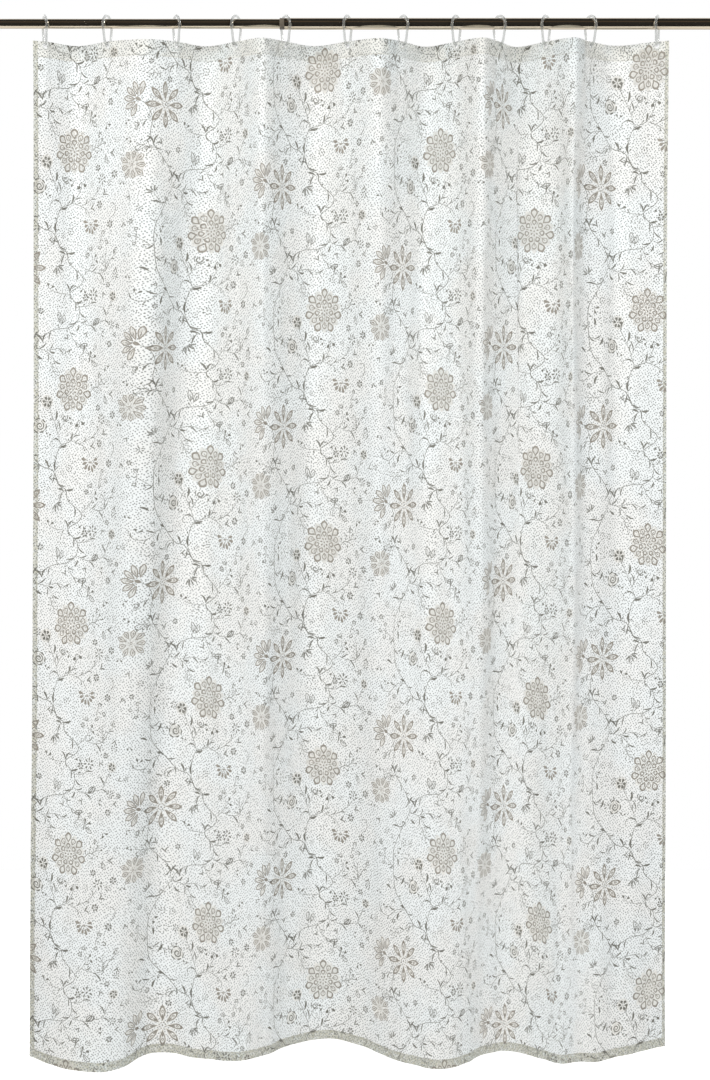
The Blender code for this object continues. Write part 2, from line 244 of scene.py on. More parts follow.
def hang(u, v, offset=0.0):
    """Where points of the flat cloth hang: u across from the left edge, v down from the top edge."""
    u, v = np.broadcast_arrays(np.asarray(u, float), np.asarray(v, float))
    ease = (np.clip(v, 0, None) / CURTAIN_DROP) ** FOLD_EASE

    def smooth_place(at):
        top, bottom = (np.array([np.interp(at, flat_u, along) for along in path])
                       for flat_u, *path in (TOP_MAP, BOTTOM_MAP))
        return (1 - ease) * top + ease * bottom

    place = smooth_place(u)
    run = smooth_place(u + 0.001) - smooth_place(u - 0.001)
    run /= np.hypot(*run)
    between = (u - EDGE_TO_HOLE) / HOLE_PITCH
    inside = (between > 0) & (between < len(HOLES) - 1)
    sag = inside * SAG * np.sin(np.pi * between) ** 2 * np.clip(1 - v / SAG_FADE, 0, None) ** 2
    off = offset + unevenness(u, v) + creased(u, v)
    return np.stack([place[0] - off * run[1], place[1] + off * run[0], TOP_EDGE_Z - v - sag], axis=-1)


def cloth_turn(u, v):
    """The angle about Z at which the cloth faces at a hole, from facing straight into the room."""
    flat = EYELET_FLANGE_R + 0.001
    run = hang(u + flat, v) - hang(u - flat, v)
    return math.atan2(run[1], run[0])


# ---------------------------------------------------------------- the printed pattern, drawn flat
# Points are complex numbers in millimetres: across to the right, and down the cloth. The pattern repeats in
# cells down each column, and each column sits a step lower than the one to its left.

CELL_ACROSS = 332.5
CELL_DOWN = 456.0
COLUMN_STEP = CELL_DOWN / 3
FIRST_FLOWER = 95.0 + 200.5j
FINEST = 3.2  # the longest piece of a drawn edge


def cell_step(across, down):
    """The way from one cell to another, so many columns across and so many cells down."""
    return across * (CELL_ACROSS + 1j * COLUMN_STEP) + 1j * down * CELL_DOWN


NEIGHBOURS = [cell_step(across, down) for across in (-1, 0, 1) for down in (-1, 0, 1)]


class Ink:
    """Flat printed shapes as points and faces, each drawn at the place, turn and size last set."""

    def __init__(self):
        self.points = []
        self.faces = []
        self.put_at(0, 1, 1)

    def put_at(self, place, turn, size):
        self.place, self.turn, self.size = place, turn, size

    def placed(self, path):
        return self.place + self.turn * self.size * np.asarray(path, complex)

    def strip(self, left, right, closed=False):
        """A band between two edges with as many points each."""
        first, count = len(self.points), len(left)
        self.points.extend(np.column_stack([left, right]).ravel())
        for k in range(count if closed else count - 1):
            here, after = first + 2 * k, first + 2 * ((k + 1) % count)
            self.faces.append((here, after, after + 1, here + 1))

    def line(self, path, width, ends=0.35):
        """A drawn line that thins towards both ends."""
        path = even(self.placed(path))
        way = np.gradient(path)
        side = 1j * way / np.abs(way)
        run = np.linspace(0, 1, len(path))
        half = self.size * width / 2 * (ends + (1 - ends) * np.sin(np.pi * run) ** 0.6)
        self.strip(path + side * half, path - side * half)

    def ring(self, path, width):
        """A drawn closed outline of even width."""
        path = closed(self.placed(path))
        way = np.roll(path, -1) - np.roll(path, 1)
        side = 1j * way / np.abs(way) * self.size * width / 2
        self.strip(path + side, path - side, closed=True)

    def solid(self, outline):
        """A filled shape that its middle can see all of."""
        outline = closed(self.placed(outline))
        middle = outline.mean()
        spokes = outline - middle
        bands = max(1, math.ceil(np.abs(spokes).max() / FINEST) - 1)
        for k in range(bands):
            outer, inner = 1 - k / (bands + 1), 1 - (k + 1) / (bands + 1)
            self.strip(middle + spokes * outer, middle + spokes * inner, closed=True)
        first, count = len(self.points), len(outline)
        self.points.extend([middle, *(middle + spokes / (bands + 1))])
        for k in range(count):
            self.faces.append((first, first + 1 + k, first + 1 + (k + 1) % count))

    def disc(self, radius, sides=14):
        """A filled round in the middle, which takes no turn."""
        self.solid(loop(0, radius, sides=sides) / self.turn)

    def between(self, outer, inner):
        """A filled shape with a hole in it."""
        outer, inner = self.placed(outer), self.placed(inner)
        count = max(len(closed(outer)), 10)
        self.strip(closed(outer, count), closed(inner, count), closed=True)


def even(path, count=None):
    """The same path with its points evenly spaced, close enough together to bend with the cloth."""
    run = np.concatenate([[0], np.cumsum(np.abs(np.diff(path)))])
    if count is None:
        count = max(4, math.ceil(run[-1] / FINEST) + 1)
    at = np.linspace(0, run[-1], count)
    return np.interp(at, run, path.real) + 1j * np.interp(at, run, path.imag)


def closed(outline, count=None):
    """A closed outline's points, evenly spaced, with the first one not repeated."""
    outline = np.append(outline, outline[0])
    if count is None:
        count = max(7, math.ceil(np.abs(np.diff(outline)).sum() / FINEST))
    return even(outline, count + 1)[:-1]


def straight(*knots):
    return np.array(knots, complex)


def curve(*knots):
    """A smooth line through a few points."""
    knots = straight(*knots)
    ends = [2 * knots[0] - knots[1], *knots, 2 * knots[-1] - knots[-2]]
    t = np.linspace(0, 1, 9)[:-1]
    pieces = []
    for a, b, c, d in zip(ends, ends[1:], ends[2:], ends[3:]):
        pieces.append(b + 0.5 * t * (c - a + t * (2 * a - 5 * b + 4 * c - d + t * (3 * (b - c) + d - a))))
    return np.append(np.concatenate(pieces), knots[-1])


def petal(length, width, start=0.0, fullest=0.5, bend=0.0):
    """A pointed petal's outline from start out to length along the first axis, fullest part-way."""
    t = np.linspace(0, 1, 13)
    power = math.log(0.5) / math.log(fullest)
    half = width / 2 * np.sin(np.pi * t**power) ** 0.85
    spine = start + (length - start) * t + 1j * bend * np.sin(np.pi * t)
    return np.concatenate([spine + 1j * half, (spine - 1j * half)[-2:0:-1]])


def loop(middle, across, along=None, sides=14):
    """A round or oval outline."""
    turns = np.linspace(0, 2 * np.pi, sides, endpoint=False)
    return middle + (along or across) * np.cos(turns) + 1j * across * np.sin(turns)


def spiral(radius, turns, start=0.0):
    """A line that winds in to 0.15 of its radius."""
    a = np.linspace(0, 2 * np.pi * turns, int(14 * turns))
    return radius * (1 - 0.85 * a / a[-1]) * np.exp(1j * (a + start))


def around(count, start=0.0, sweep=360.0):
    """Turns, as unit complex numbers, spread evenly over a sweep in degrees."""
    if sweep == 360:
        return np.exp(1j * np.radians(start + np.arange(count) * 360 / count))
    return np.exp(1j * np.radians(start + np.linspace(-sweep / 2, sweep / 2, count)))


def rosette(ink):
    """The big round flower: looped outer petals, small ones between them, inner ones and a dotted eye."""
    for way in around(7, -90):
        next_way = way * np.exp(1j * np.pi / 7)
        ink.between(way * petal(44.5, 16.0, 23.0, 0.62), way * petal(40.3, 10.2, 27.0, 0.62))
        ink.between(next_way * petal(35.5, 11.5, 20.5, 0.6), next_way * petal(33.3, 8.6, 23.0, 0.6))
        ink.line(next_way * straight(23.5, 30.0), 1.3)
        ink.between(way * petal(23.0, 11.5, 11.0, 0.6), way * petal(20.0, 6.4, 13.4, 0.6))
        ink.line(next_way * straight(12.0, 20.0), 1.5)
        ink.solid(next_way * petal(10.4, 3.2, 4.4, 0.6))
    ink.disc(1.7)


def star(ink):
    """The eight-pointed flower, with dots between its petals."""
    for way in around(8, -90):
        next_way = way * np.exp(1j * np.pi / 8)
        ink.between(way * petal(44.0, 11.5, 9.0, 0.6), way * petal(38.0, 7.6, 15.0, 0.6))
        ink.ring(way * loop(29.5, 1.7, 2.6), 1.3)
        ink.solid(way * petal(25.0, 3.0, 15.5, 0.6))
        for spot in (24.0, 30.0 + 2.3j, 30.0 - 2.3j, 35.5):
            ink.solid(next_way * loop(spot, 1.1))
        ink.solid(next_way * loop(6.3, 1.2))
    ink.disc(1.7)


def fan_flower(ink):
    """A side view of a flower: open petals spread in a fan from its cup."""
    for way in around(6, 0, 165):
        ink.ring(way * petal(35.0, 10.0, 9.0, 0.6), 1.9)
        ink.line(way * straight(14.0, 25.0), 1.5)
    ink.solid(petal(9.0, 7.0, -4.0, 0.5))


def lily(ink):
    """An open flower of narrow petals round a small eye."""
    for k, way in enumerate(around(9, -90)):
        reach = (26.0, 30.0)[k % 2]
        ink.ring(way * petal(reach, 8.5, 10.0, 0.62), 1.5)
        ink.solid(way * petal(reach - 3.0, 2.6, 14.0, 0.7))
    for way in around(6):
        ink.solid(way * loop(5.5, 0.9))
    ink.ring(loop(0, 2.2), 1.2)


def half_daisy(ink):
    """Solid tapered petals over the upper half of a daisy."""
    for k, way in enumerate(around(8, 0, 205)):
        ink.solid(way * petal((20.0, 23.0)[k % 2], 6.2, 7.0, 0.68))
    for way in around(5, 0, 120):
        ink.line(way * straight(1.5, 5.5), 1.5)


def blossom(ink):
    """A small round flower of six solid petals."""
    for way in around(6):
        ink.solid(way * petal(11.0, 6.4, 2.6, 0.66))
    ink.disc(1.2)


def daisy(ink):
    """A small flower of thin strokes."""
    for way in around(7, 0, 290):
        ink.solid(way * petal(11.5, 3.2, 4.0, 0.62))
    ink.disc(1.7)


def rosebud(ink):
    """A full bud: a spiral heart wrapped in crescent petals."""
    ink.line(spiral(9.5, 1.7), 2.4)
    crescent = np.exp(1j * np.linspace(-0.42, 0.42, 6))
    for k, way in enumerate(around(6, 20)):
        ink.line(way * (13.5, 15.0)[k % 2] * crescent, 2.9, 0.2)
    for way in around(3, -60, 60):
        ink.line(way * straight(16.5, 23.0 + 2.0j), 2.2)


def spiral_bud(ink):
    """A small curled bud with two sepals."""
    ink.line(spiral(6.6, 1.35), 1.9)
    for side in (1, -1):
        ink.line(curve(-6.5 + 1.5j * side, -3.0 + 7.5j * side, 2.0 + 8.2j * side), 1.5)


def tulip(ink):
    """Five strokes spread like a tulip's petals, between two curved ones."""
    for way in around(5, 0, 130):
        ink.line(way * straight(3.0, 10.0, 17.0), 2.4, 0.15)
    for side in (1, -1):
        ink.line(curve(1.0, 9.0 + 9.0j * side, 20.0 + 7.0j * side), 1.3)


def berries(ink):
    """A loose sprig of berries on short stalks."""
    stem = curve(0, 12 - 3j, 25 + 1j, 38 - 4j)
    ink.line(stem, 1.2)
    for k, spot in enumerate((9 - 11j, 17 + 9j, 24 - 12j, 30 + 11j, 36 - 14j, 45 + 4j, 41 - 7j)):
        foot = stem[min(len(stem) - 1, 4 + 3 * k)]
        ink.line(straight(foot, foot + (spot - foot) * 0.8), 1.0)
        ink.solid(loop(spot, 1.9, sides=8))


def leaf(ink):
    """A solid slender leaf."""
    ink.solid(petal(20.0, 4.6, 0.0, 0.55, 2.2))


def open_leaf(ink):
    """An outlined leaf with its vein."""
    ink.ring(petal(19.0, 8.0, 0.0, 0.5, 1.5), 1.3)
    ink.line(curve(-3.0, 5.0 + 1.0j, 13.0 + 1.2j), 1.1)


def leaf_pair(ink):
    """Two slender leaves in a V."""
    for side in (1, -1):
        ink.solid(np.exp(0.62j * side) * petal(21.0, 3.4, 0.0, 0.5, -3.0 * side))


def twin_buds(ink):
    """Two buds on short stalks."""
    for side in (1, -1):
        way = np.exp(0.8j * side)
        ink.line(way * straight(0, 7.0), 1.2)
        ink.solid(way * petal(16.0, 6.5, 6.0, 0.6, -1.5 * side))


def seeds(ink):
    """A ring of small dots round a middle one."""
    for way in around(7):
        ink.solid(way * loop(6.2, 1.35, sides=8))
    ink.disc(1.5, 8)


def sprinkle(ink):
    """A loose handful of short seed strokes."""
    for k, spot in enumerate((0, 9 + 5j, -8 + 6j, 4 - 9j, -5 - 7j, 14 - 4j, -14 - 1j, 2 + 12j)):
        ink.solid(spot + np.exp(0.9j * k) * petal(2.2, 2.0, -2.2, 0.5))


def cloverleaf(ink):
    """Three curled buds on one stalk."""
    for way, reach in zip(around(3, 0, 150), (15.0, 18.0, 15.0)):
        head = way * reach
        ink.line(straight(0, head * 0.6), 1.1)
        ink.line(head + way * spiral(5.4, 1.3, start=np.pi), 1.8)


def tendril(ink):
    """A thin curl."""
    run = np.linspace(0, 1, 20)
    ink.line(26 * run * np.exp(2.6j * run**1.6), 1.2)


def rosette_tint(ink):
    """The plain pale ground of the big round flower."""
    turns = np.linspace(0, 2 * np.pi, 84, endpoint=False)
    ink.solid((39.5 + 3.5 * np.cos(14 * turns)) * np.exp(1j * (turns - np.pi / 2)))


def star_tint(ink):
    for way in around(8, -90):
        ink.solid(way * petal(44.5, 14.0, 2.0, 0.6))


def fan_tint(ink):
    for way in around(6, 0, 165):
        ink.solid(way * petal(36.5, 12.0, 6.0, 0.6))


def lily_tint(ink):
    ink.disc(25.0, 30)


def round_tint(ink):
    ink.disc(14.0, 20)


TINTS = {rosette: rosette_tint, star: star_tint, fan_flower: fan_tint, lily: lily_tint, rosebud: round_tint,
         blossom: round_tint}
FLOWERS = (rosette, star, lily, fan_flower, half_daisy)

# Where each motif is in the cell: its place, the way it points in degrees (down is 90) and its size
MOTIFS = {
    rosette: [(0, 0, 0, 1)],
    star: [(-112, 222, 0, 1)],
    fan_flower: [(-166, 214, -158, 1)],
    lily: [(-181, 334, 12, 1)],
    half_daisy: [(42, 137, 88, 1)],
    blossom: [(-66, 22, 8, 1), (106, 276, 20, 0.75)],
    rosebud: [(-82, 68, -70, 0.95)],
    spiral_bud: [(-20, 53, -50, 1.1), (41, 184, -80, 0.8), (-112, -58, 120, 0.75), (-172, 262, -150, 0.9),
                 (112, 190, 30, 0.8)],
    tulip: [(-42, 218, 62, 1), (-142, -70, -120, 0.8)],
    twin_buds: [(14, 58, 75, 1), (52, 206, -15, 0.8), (-60, 262, -70, 0.8), (44, -62, -60, 0.85)],
    daisy: [(74, 55, -70, 1), (50, 273, -85, 1.15), (102, 330, -30, 0.8)],
    berries: [(41, 4, -28, 1), (-118, 162, 170, 0.75), (-138, 302, 190, 0.85), (88, 232, -100, 0.8),
              (-60, -54, 60, 0.8)],
    cloverleaf: [(70, 168, 20, 1), (-168, 12, -170, 0.9)],
    seeds: [(-8, 152, 0, 1), (20, 396, 0, 0.9), (-112, -20, 0, 1), (-92, -18, 25, 0.85)],
    sprinkle: [(2, 132, 20, 0.8), (-28, 288, 60, 0.9), (-108, 12, 140, 1), (88, -18, 0, 0.9),
               (-70, 186, 30, 0.8), (76, 240, 80, 1), (-8, -66, 20, 0.9)],
    open_leaf: [(-36, 326, -98, 1.1), (-30, 328, -70, 1), (50, 330, -35, 1.1), (62, 318, 130, 1),
                (14, 372, -14, 1.1), (44, 398, 40, 1), (84, 10, 70, 0.9)],
    leaf_pair: [(-76, -92, -100, 1), (-94, 357, -90, 0.9), (-10, 268, -85, 0.95), (-140, 296, -95, 1)],
    leaf: [(-16, 193, -5, 1), (-20, 196, -165, 0.9), (-44, 134, 92, 1.1), (-46, 60, -80, 1.1),
           (-122, 66, -58, 1), (-106, 116, -155, 0.95), (-124, 122, 112, 1), (-62, 150, -120, 1),
           (-32, 108, -8, 0.9), (-6, 98, -75, 0.9), (-62, -76, 12, 0.85), (4, 288, -12, 0.9),
           (-150, 78, -150, 0.9), (-90, -70, 35, 0.9), (6, 344, -60, 0.8), (-130, 30, -95, 0.9)],
    tendril: [(-52, 110, -160, 0.9), (96, 104, -60, 0.9), (-96, 160, 160, 0.8)],
}

# The stems, each through a few points, with its width
STEMS = [
    (2.0, [-94 - 82j, -120 - 44j, -141 - 8j, -143 + 34j, -136 + 80j, -106 + 116j, -80 + 145j, -52 + 155j,
           -34 + 184j, -16 + 193j, -11 + 213j, 20 + 238j, 16 + 254j, -10 + 272j, 12 + 296j, 10 + 322j,
           -12 + 336j, -50 + 340j, -82 + 356j, -94 + 374j]),
    (1.7, [-34 + 184j, -45 + 158j, -42 + 130j, -31 + 108j, -4 + 98j, 14 + 72j, 14 + 58j]),
    (1.4, [-31 + 108j, -38 + 84j, -56 + 44j, -64 + 30j]),
    (1.4, [-38 + 84j, -28 + 70j, -22 + 60j]),
    (1.4, [-4 + 98j, 14 + 104j, 30 + 112j, 40 + 124j]),
    (1.4, [14 + 104j, 40 + 94j, 62 + 78j, 72 + 64j]),
    (1.4, [-140 + 50j, -118 + 56j, -98 + 64j]),
    (1.5, [-106 + 116j, -132 + 118j, -156 + 133j, -178 + 128j, -186 + 110j]),
    (1.3, [-80 + 145j, -98 + 150j, -114 + 160j]),
    (1.4, [20 + 238j, 36 + 226j, 48 + 210j, 44 + 194j]),
    (1.4, [36 + 226j, 62 + 232j, 84 + 228j, 98 + 208j, 110 + 196j]),
    (1.4, [-16 + 193j, -30 + 202j, -38 + 212j]),
    (1.4, [12 + 296j, 34 + 294j, 48 + 284j]),
    (1.4, [10 + 322j, 30 + 330j, 50 + 330j, 84 + 322j, 98 + 328j]),
    (1.4, [-12 + 336j, 0 + 360j, 26 + 374j, 46 + 394j]),
    (1.4, [84 + 322j, 94 + 300j, 102 + 284j]),
    (1.7, [-166 + 214j, -150 + 226j, -142 + 250j, -146 + 276j, -138 + 300j, -118 + 322j, -100 + 344j,
           -94 + 372j]),
    (1.3, [-142 + 250j, -158 + 252j, -168 + 258j]),
    (1.4, [-138 + 300j, -160 + 304j, -178 + 318j]),
    (1.3, [-94 - 82j, -70 - 76j, -52 - 62j, -44 - 44j]),
    (1.3, [-70 - 76j, -34 - 80j, -10 - 70j]),
    (1.3, [-120 - 44j, -134 - 58j, -140 - 66j]),
    (1.3, [-143 + 34j, -156 + 22j, -166 + 14j]),
    (1.3, [-10 + 272j, -36 + 270j, -58 + 264j]),
    (1.3, [14 + 390j, 30 + 384j, 40 + 392j]),
]

STEM_SHARE = 0.62  # how much of its width each stem is printed with
LEAF_EVERY = 22.5
LEAF_SHARE = 0.55  # how many of a stem's side shoots are leaves; the others are berries
LEAF_SLENDERNESS = 0.13
FILLERS = 64
TRIES = 4000
CLEAR_OF_OTHERS = 8.5


def dress(ink, stem, chance):
    """Small leaves and berries along a stem, on alternate sides."""
    path = even(stem)
    way = np.gradient(path)
    way /= np.abs(way)
    gap = int(LEAF_EVERY / FINEST)
    side = 1
    for k in range(gap // 2, len(path) - 2, gap):
        side = -side
        lean = way[k] * np.exp(1j * side * chance.uniform(0.6, 1.0))
        if chance.random() < LEAF_SHARE:
            long = chance.uniform(13.0, 23.0)
            ink.solid(path[k] + lean * petal(long, long * LEAF_SLENDERNESS, bend=-side * 2.0))
        else:
            reach = chance.uniform(4.5, 8.0)
            ink.line(path[k] + lean * straight(0, reach), 1.0)
            ink.solid(path[k] + lean * loop(reach + 1.0, 1.7, sides=8))


def fill_gaps(ink, taken, chance):
    """Small loose marks where the pattern is still bare."""
    around_cell = np.concatenate([np.array(taken) + step for step in NEIGHBOURS])
    small = (sprinkle, daisy, seeds, leaf_pair, twin_buds, blossom)
    placed = []
    for _ in range(TRIES):
        spot = chance.uniform(-CELL_ACROSS / 2, CELL_ACROSS / 2) + 1j * chance.uniform(0, CELL_DOWN)
        if len(placed) == FILLERS:
            break
        if np.abs(around_cell - spot).min() < CLEAR_OF_OTHERS:
            continue
        if any(abs(other + step - spot) < 2.1 * CLEAR_OF_OTHERS for other in placed for step in NEIGHBOURS):
            continue
        placed.append(spot)
        motif = small[int(chance.integers(len(small)))]
        ink.put_at(spot, np.exp(1j * chance.uniform(0, 2 * np.pi)), chance.uniform(0.5, 0.75))
        motif(ink)


def drawn_cell():
    """One cell's fine dark drawing, its flowers and their pale ground."""
    chance = np.random.default_rng(5)
    fine, flowers, tints = Ink(), Ink(), Ink()
    for width, knots in STEMS:
        fine.line(curve(*knots), width * STEM_SHARE, 0.6)
        dress(fine, curve(*knots), chance)
    for motif, spots in MOTIFS.items():
        for x, y, turn, size in spots:
            for ink in (fine, flowers, tints):
                ink.put_at(x + 1j * y, np.exp(1j * math.radians(turn)), size)
            motif(flowers if motif in FLOWERS else fine)
            if motif in TINTS:
                TINTS[motif](tints)
    fill_gaps(fine, [*fine.points, *flowers.points], chance)
    return fine, flowers, tints


# ---------------------------------------------------------------- mesh tools

def added(name, data):
    """A new object in the scene."""
    thing = bpy.data.objects.new(name, data)
    bpy.context.scene.collection.objects.link(thing)
    return thing


def piece(name, mesh, stuff, body, replaced=()):
    """Adds a finished piece, which rides on a body and may stand for CAD nodes."""
    thing = added(name, mesh)
    mesh.materials.append(stuff)
    if replaced:
        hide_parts(*replaced)
    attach(thing, body)
    return thing


def cloth_mesh(points, faces, flat):
    """A mesh whose UV map is its flat place on the cloth, in metres."""
    mesh = bpy.data.meshes.new("shape")
    mesh.from_pydata(points.tolist(), [], faces)
    mesh.shade_smooth()
    layer = mesh.uv_layers.new(name="flat")
    corners = np.empty(len(mesh.loops), int)
    mesh.loops.foreach_get("vertex_index", corners)
    layer.data.foreach_set("uv", flat.astype(np.float32)[corners].ravel())
    return mesh


def round_body(rows, smooth_angle, joined=False):
    """A closed smooth mesh over rows of points round a body, with its ends joined or capped.

    A row may be a single point.
    """
    bm = bmesh.new()
    rows = [[bm.verts.new(point) for point in row] for row in rows]
    sides = max(len(row) for row in rows)
    for near, far in zip(rows, rows[1:] + rows[:1] if joined else rows[1:]):
        for k in range(sides):
            after = (k + 1) % sides
            corners = [near[k % len(near)], near[after % len(near)], far[after % len(far)], far[k % len(far)]]
            corners = list(dict.fromkeys(corners))
            if len(corners) > 2:
                bm.faces.new(corners)
    if not joined:
        bm.faces.new(rows[0])
        bm.faces.new(rows[-1])
    bmesh.ops.recalc_face_normals(bm, faces=bm.faces)
    mesh = bpy.data.meshes.new("shape")
    bm.to_mesh(mesh)
    bm.free()
    mesh.shade_smooth()
    mesh.set_sharp_from_angle(angle=smooth_angle)
    return mesh


def circle(sides):
    """Points round a circle of radius 1."""
    turns = [2 * math.pi * k / sides for k in range(sides)]
    return [(math.cos(a), math.sin(a)) for a in turns]


def turned(outline, sides):
    """A body turned about X from a closed outline of (x, radius) points. A point on the axis has radius 0."""
    rows = []
    for x, radius in outline:
        rows.append([(x, radius * y, radius * z) for y, z in circle(sides if radius else 1)])
    return round_body(rows, math.radians(35), joined=True)


def swept(path, radii, sides=14):
    """A round strand of changing thickness along points of the YZ plane, with closed ends."""
    path = [Vector((0, y, z)) for y, z in path]
    across = Vector((1, 0, 0))
    rows = []
    for k, (at, radius) in enumerate(zip(path, radii)):
        way = (path[min(k + 1, len(path) - 1)] - path[max(k - 1, 0)]).normalized()
        up = way.cross(across)
        rows.append([at + radius * (x * across + z * up) for x, z in circle(sides)])
    return round_body(rows, math.radians(50))


# ---------------------------------------------------------------- materials

class Looks:
    """A material's node tree with short names for what it needs."""

    def __init__(self, name):
        self.material = bpy.data.materials.new(name)
        self.material.use_nodes = True
        self.tree = self.material.node_tree
        self.shader = self.tree.nodes["Principled BSDF"]
        self.output = self.tree.nodes["Material Output"]

    def node(self, kind, feeds=None, **settings):
        """A new node, its settings, and what feeds its inputs by name or number."""
        made = self.tree.nodes.new(kind)
        for key, value in settings.items():
            setattr(made, key, value)
        for key, value in (feeds or {}).items():
            self.feed(value, made.inputs[key])
        return made

    def feed(self, value, socket):
        """Gives a socket a number, a colour, a vector or another node's output."""
        if isinstance(value, bpy.types.NodeSocket):
            self.tree.links.new(value, socket)
        elif isinstance(value, tuple):
            socket.default_value = (*value, 1)[:len(socket.default_value)]
        else:
            socket.default_value = value

    def set(self, **values):
        """Feeds the shader's inputs, named with _ for a space."""
        for key, value in values.items():
            self.feed(value, self.shader.inputs[key.replace("_", " ")])

    def object_place(self):
        return self.node("ShaderNodeTexCoord").outputs["Object"]

    def flat_place(self):
        """Where a point lies on the flat cloth, in metres."""
        return self.node("ShaderNodeUVMap", uv_map="flat").outputs["UV"]

    def math(self, operation, *values):
        return self.node("ShaderNodeMath", dict(enumerate(values)), operation=operation).outputs["Value"]

    def noise(self, where, scale):
        feeds = {"Vector": where, "Scale": scale, "Detail": 3.0}
        return self.node("ShaderNodeTexNoise", feeds).outputs["Fac"]

    def mix(self, share, one, other):
        """Blends two colours by a share."""
        feeds = {"Factor": share, "A": one, "B": other}
        return self.node("ShaderNodeMix", feeds, data_type="RGBA").outputs["Result"]

    def ramp(self, value, low, high, to_low=0.0, to_high=1.0):
        feeds = {"Value": value, "From Min": low, "From Max": high, "To Min": to_low, "To Max": to_high}
        return self.node("ShaderNodeMapRange", feeds, interpolation_type="SMOOTHSTEP").outputs["Result"]

    def mottled(self, where, scale, low, high, one, other):
        """Two colours in soft patches."""
        return self.mix(self.ramp(self.noise(where, scale), low, high), one, other)

    def bump(self, height, strength):
        feeds = {"Height": height, "Strength": strength, "Distance": BUMP_DEPTH}
        normal = self.node("ShaderNodeBump", feeds).outputs["Normal"]
        self.set(Normal=normal)
        return normal

    def let_light_through(self, share, colour, normal):
        """Thin cloth: part of the light that falls on its far side comes through."""
        through = self.node("ShaderNodeBsdfTranslucent", {"Color": colour, "Normal": normal})
        feeds = {"Fac": share, 1: self.shader.outputs["BSDF"], 2: through.outputs["BSDF"]}
        mix = self.node("ShaderNodeMixShader", feeds)
        self.feed(mix.outputs["Shader"], self.output.inputs["Surface"])


BUMP_DEPTH = 0.0002
THREADS = 420.0  # the weave's scale
DOT_PITCH = 0.0051
DOT_ROWS_TURN = math.radians(34)
DOT_UNEVENNESS = 0.56
DOT_EDGE = (0.31, 0.41)  # a dot's fading edge, in dot pitches from its middle
GROUND = (0.885, 0.915, 0.915)
GROUND_WARM = (0.895, 0.895, 0.875)
DOT_COLOUR = (0.30, 0.315, 0.305)
# Painted tint: where the cloth lies double it is painted a warmer tone, for the light that comes through two
# layers
HEADER_PAINTED_TINT = (0.91, 0.905, 0.87)
# Painted shade: the cloth is painted darker and browner along the side and bottom hems, for the backlight
# that the folded layer holds back
HEM_PAINTED_SHADE = (0.64, 0.63, 0.54)
VINE_INK = ((0.235, 0.23, 0.205), (0.29, 0.285, 0.255))
FLOWER_INK = ((0.365, 0.335, 0.295), (0.425, 0.395, 0.35))
FLOWER_GROUND = ((0.88, 0.865, 0.84), (0.91, 0.90, 0.88))
THREAD_COLOURS = ((0.56, 0.55, 0.50), (0.62, 0.61, 0.56))
CLOTH_THROUGH = 0.42
INK_THROUGH = 0.35
FLOWER_GROUND_THROUGH = 0.8


def woven(look, flat, colour, through, **finish):
    """Finishes a material as thin matt cloth, of threads crossing at a fine pitch."""
    look.set(Base_Color=colour, Roughness=0.85, **finish)
    heights = []
    for direction in ("X", "Y"):
        feeds = {"Vector": flat, "Scale": THREADS, "Distortion": 0.6}
        heights.append(look.node("ShaderNodeTexWave", feeds, bands_direction=direction).outputs["Fac"])
    normal = look.bump(look.math("MULTIPLY", *heights), 0.25)
    look.let_light_through(through, colour, normal)
    return look.material


def where_double(look, flat):
    """1 where the header's hem lies behind the cloth, and 1 where another hem does: the places where painted
    tint and painted shade go.
    """
    parts = look.node("ShaderNodeSeparateXYZ", {"Vector": flat})
    across, down = parts.outputs["X"], parts.outputs["Y"]
    sides = look.math("MAXIMUM", look.math("LESS_THAN", across, SIDE_HEM_LEFT),
                      look.math("GREATER_THAN", across, CURTAIN_WIDTH - SIDE_HEM_RIGHT))
    low = look.math("GREATER_THAN", down, CURTAIN_DROP - BOTTOM_HEM)
    return look.math("LESS_THAN", down, HEADER_HEM), look.math("MAXIMUM", sides, low)


def dotted(look, flat, ground):
    """Small dots in uneven slanted rows on a ground colour."""
    slanted = look.node("ShaderNodeMapping", {"Vector": flat, "Rotation": (0, 0, DOT_ROWS_TURN)})
    feeds = {"Vector": slanted.outputs["Vector"], "Scale": 1 / DOT_PITCH, "Randomness": DOT_UNEVENNESS}
    dots = look.node("ShaderNodeTexVoronoi", feeds, voronoi_dimensions="2D")
    from_middle = look.math("MULTIPLY_ADD", look.noise(flat, 130.0), 0.26, dots.outputs["Distance"])
    return look.mix(look.ramp(from_middle, *DOT_EDGE), DOT_COLOUR, ground)


def cloth_material(name, double=False):
    """Thin woven cloth with a ground of fine dots, with a painted warm tint where it lies double and painted
    shade along the side and bottom hems, for the light that two layers let through.
    """
    look = Looks(name)
    flat = look.flat_place()
    ground = look.mottled(flat, 7.0, 0.38, 0.62, GROUND, GROUND_WARM)
    if double:
        # The hem pieces get the same painted warm tint, in soft patches
        ground = look.mottled(flat, 60.0, 0.3, 0.7, HEADER_PAINTED_TINT, ground)
    else:
        header, hem = where_double(look, flat)
        # Painted warm tint over the header's hem, for the light that comes through two layers
        ground = look.mix(header, ground, look.mottled(flat, 12.0, 0.4, 0.6, HEADER_PAINTED_TINT, ground))
        # Painted shade along the side and bottom hems, where the second layer holds back the light from
        # behind
        ground = look.mix(hem, ground, look.mottled(flat, 150.0, 0.3, 0.8, HEM_PAINTED_SHADE, ground))
    coloured = dotted(look, flat, ground)
    return woven(look, flat, coloured, CLOTH_THROUGH, Sheen_Weight=0.15, Specular_IOR_Level=0.25)


